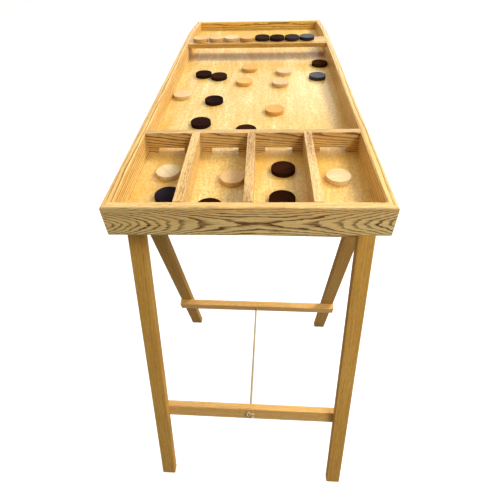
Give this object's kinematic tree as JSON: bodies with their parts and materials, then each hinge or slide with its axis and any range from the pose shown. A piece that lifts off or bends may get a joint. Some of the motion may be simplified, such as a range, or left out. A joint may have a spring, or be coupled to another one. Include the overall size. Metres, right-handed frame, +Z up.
{
  "type": "dutch shuffleboard",
  "caption": "Long shallow wooden tray with scoring gates and a disc shelf, resting on folding trestles held by ropes, with loose light and dark discs.",
  "frame": {"origin": "on the floor, under the middle of the tray", "axes": "+X across the tray to the right, +Y along the tray from the scoring compartments to the player, +Z up"},
  "size_m": [0.5118, 1.6198, 0.8321],
  "materials": {
    "wall_oak": "satin oiled oak",
    "inner_oak": "satin oiled oak",
    "bed_birch": "gloss varnished birch plywood",
    "stand_pine": "satin stained pine",
    "disc_beech": "satin beech",
    "disc_wenge": "polished wenge",
    "hinge_brass": "satin brass",
    "rope_jute": "twisted natural fibre"
  },
  "bodies": {
    "near_stand_outer": {"near_outer_leg_left": "stand_pine", "near_outer_leg_right": "stand_pine", "near_top_board": "stand_pine", "near_outer_crossbar": "stand_pine", "near_outer_hinge_leaves": "hinge_brass", "near_rope": "rope_jute"},
    "near_stand_inner": {"near_inner_leg_left": "stand_pine", "near_inner_leg_right": "stand_pine", "near_inner_crossbar": "stand_pine", "near_inner_hinge_leaves": "hinge_brass", "near_rope_knot": "rope_jute"},
    "tray": {"tray_bed": "bed_birch", "near_wall": "wall_oak", "far_wall": "wall_oak", "left_wall": "wall_oak", "right_wall": "wall_oak", "gate_bar": "inner_oak", "divider_left": "inner_oak", "divider_middle": "inner_oak", "divider_right": "inner_oak", "disc_shelf": "inner_oak"},
    "far_stand_outer": {"far_outer_leg_left": "stand_pine", "far_outer_leg_right": "stand_pine", "far_top_board": "stand_pine", "far_outer_crossbar": "stand_pine", "far_outer_hinge_leaves": "hinge_brass", "far_rope": "rope_jute"},
    "far_stand_inner": {"far_inner_leg_left": "stand_pine", "far_inner_leg_right": "stand_pine", "far_inner_crossbar": "stand_pine", "far_inner_hinge_leaves": "hinge_brass", "far_rope_knot": "rope_jute"},
    "light_disc_1": {"light_disc_1": "disc_beech"},
    "light_disc_2": {"light_disc_2": "disc_beech"},
    "light_disc_3": {"light_disc_3": "disc_beech"},
    "light_disc_4": {"light_disc_4": "disc_beech"},
    "light_disc_5": {"light_disc_5": "disc_beech"},
    "light_disc_6": {"light_disc_6": "disc_beech"},
    "light_disc_7": {"light_disc_7": "disc_beech"},
    "light_disc_8": {"light_disc_8": "disc_beech"},
    "light_disc_9": {"light_disc_9": "disc_beech"},
    "dark_disc_1": {"dark_disc_1": "disc_wenge"},
    "dark_disc_2": {"dark_disc_2": "disc_wenge"},
    "dark_disc_3": {"dark_disc_3": "disc_wenge"},
    "dark_disc_4": {"dark_disc_4": "disc_wenge"},
    "dark_disc_5": {"dark_disc_5": "disc_wenge"},
    "dark_disc_6": {"dark_disc_6": "disc_wenge"},
    "dark_disc_7": {"dark_disc_7": "disc_wenge"},
    "dark_disc_8": {"dark_disc_8": "disc_wenge"},
    "dark_disc_9": {"dark_disc_9": "disc_wenge"},
    "dark_disc_10": {"dark_disc_10": "disc_wenge"},
    "dark_disc_11": {"dark_disc_11": "disc_wenge"},
    "shelf_light_disc_1": {"shelf_light_disc_1": "disc_beech"},
    "shelf_light_disc_2": {"shelf_light_disc_2": "disc_beech"},
    "shelf_light_disc_3": {"shelf_light_disc_3": "disc_beech"},
    "shelf_light_disc_4": {"shelf_light_disc_4": "disc_beech"},
    "shelf_dark_disc_1": {"shelf_dark_disc_1": "disc_wenge"},
    "shelf_dark_disc_2": {"shelf_dark_disc_2": "disc_wenge"},
    "shelf_dark_disc_3": {"shelf_dark_disc_3": "disc_wenge"},
    "shelf_dark_disc_4": {"shelf_dark_disc_4": "disc_wenge"}
  },
  "joints": [
    {"name": "near_fold", "type": "hinge", "parent": "near_stand_outer", "child": "near_stand_inner", "pos_m": [0, -0.5065, 0.755], "axis": [-0.9997, 0.0262, 0], "range_deg": [0, 32.5], "deforming": ["near_rope"]},
    {"name": "tray_lift", "type": "slide", "parent": "near_stand_outer", "child": "tray", "axis": [0, 0, 1], "range_m": [0, 0.25]},
    {"name": "far_stand_clear", "type": "slide", "parent": "tray", "child": "far_stand_outer", "axis": [0, 0, -1], "range_m": [0, 0.25]},
    {"name": "far_fold", "type": "hinge", "parent": "far_stand_outer", "child": "far_stand_inner", "pos_m": [0, 0.5065, 0.755], "axis": [0.9997, 0.0262, 0], "range_deg": [0, 32.5], "deforming": ["far_rope"]},
    {"name": "light_disc_1_slide", "type": "slide", "parent": "tray", "child": "light_disc_1", "axis": [0, 1, 0], "range_m": [-0.016, 0.063]},
    {"name": "light_disc_2_slide", "type": "slide", "parent": "tray", "child": "light_disc_2", "axis": [0, 1, 0], "range_m": [-0.031, 0.085]},
    {"name": "light_disc_3_slide", "type": "slide", "parent": "tray", "child": "light_disc_3", "axis": [0, 1, 0], "range_m": [-0.112, 0.081]},
    {"name": "light_disc_4_slide", "type": "slide", "parent": "tray", "child": "light_disc_4", "axis": [0, 1, 0], "range_m": [-0.165, 0.07]},
    {"name": "light_disc_5_slide", "type": "slide", "parent": "tray", "child": "light_disc_5", "axis": [0, 1, 0], "range_m": [-0.268, 0.066]},
    {"name": "light_disc_6_slide", "type": "slide", "parent": "tray", "child": "light_disc_6", "axis": [0, 1, 0], "range_m": [-0.132, 0.032]},
    {"name": "light_disc_7_slide", "type": "slide", "parent": "tray", "child": "light_disc_7", "axis": [0, 1, 0], "range_m": [-0.07, 0.022]},
    {"name": "light_disc_8_slide", "type": "slide", "parent": "tray", "child": "light_disc_8", "axis": [0, 1, 0], "range_m": [-0.032, 0.089]},
    {"name": "light_disc_9_slide", "type": "slide", "parent": "tray", "child": "light_disc_9", "axis": [0, 1, 0], "range_m": [-0.022, 0.121]},
    {"name": "dark_disc_1_slide", "type": "slide", "parent": "tray", "child": "dark_disc_1", "axis": [0, 1, 0], "range_m": [-0.047, 0.016]},
    {"name": "dark_disc_2_slide", "type": "slide", "parent": "tray", "child": "dark_disc_2", "axis": [0, 1, 0], "range_m": [-0.01, 0.031]},
    {"name": "dark_disc_3_slide", "type": "slide", "parent": "tray", "child": "dark_disc_3", "axis": [0, 1, 0], "range_m": [-0.027, 0.051]},
    {"name": "dark_disc_4_slide", "type": "slide", "parent": "tray", "child": "dark_disc_4", "axis": [0, 1, 0], "range_m": [-0.036, 0.027]},
    {"name": "dark_disc_5_slide", "type": "slide", "parent": "tray", "child": "dark_disc_5", "axis": [0, 1, 0], "range_m": [-0.05, 0.132]},
    {"name": "dark_disc_6_slide", "type": "slide", "parent": "tray", "child": "dark_disc_6", "axis": [0, 1, 0], "range_m": [-0.093, 0.044]},
    {"name": "dark_disc_7_slide", "type": "slide", "parent": "tray", "child": "dark_disc_7", "axis": [0, 1, 0], "range_m": [-0.044, 0.064]},
    {"name": "dark_disc_8_slide", "type": "slide", "parent": "tray", "child": "dark_disc_8", "axis": [0, 1, 0], "range_m": [-0.064, 0.004]},
    {"name": "dark_disc_9_slide", "type": "slide", "parent": "tray", "child": "dark_disc_9", "axis": [0, 1, 0], "range_m": [-0.004, 0.139]},
    {"name": "dark_disc_10_slide", "type": "slide", "parent": "tray", "child": "dark_disc_10", "axis": [0, 1, 0], "range_m": [-0.402, 0.033]},
    {"name": "dark_disc_11_slide", "type": "slide", "parent": "tray", "child": "dark_disc_11", "axis": [0, 1, 0], "range_m": [-0.033, 0.051]},
    {"name": "shelf_light_disc_1_lift", "type": "slide", "parent": "tray", "child": "shelf_light_disc_1", "axis": [0, 0, 1], "range_m": [0, 0.08]},
    {"name": "shelf_light_disc_2_lift", "type": "slide", "parent": "tray", "child": "shelf_light_disc_2", "axis": [0, 0, 1], "range_m": [0, 0.08]},
    {"name": "shelf_light_disc_3_lift", "type": "slide", "parent": "tray", "child": "shelf_light_disc_3", "axis": [0, 0, 1], "range_m": [0, 0.08]},
    {"name": "shelf_light_disc_4_lift", "type": "slide", "parent": "tray", "child": "shelf_light_disc_4", "axis": [0, 0, 1], "range_m": [0, 0.08]},
    {"name": "shelf_dark_disc_1_lift", "type": "slide", "parent": "tray", "child": "shelf_dark_disc_1", "axis": [0, 0, 1], "range_m": [0, 0.08]},
    {"name": "shelf_dark_disc_2_lift", "type": "slide", "parent": "tray", "child": "shelf_dark_disc_2", "axis": [0, 0, 1], "range_m": [0, 0.08]},
    {"name": "shelf_dark_disc_3_lift", "type": "slide", "parent": "tray", "child": "shelf_dark_disc_3", "axis": [0, 0, 1], "range_m": [0, 0.08]},
    {"name": "shelf_dark_disc_4_lift", "type": "slide", "parent": "tray", "child": "shelf_dark_disc_4", "axis": [0, 0, 1], "range_m": [0, 0.08]}
  ],
  "couplings": [
    {"joint": "far_stand_clear", "follows": "tray_lift", "ratio": 1}
  ]
}
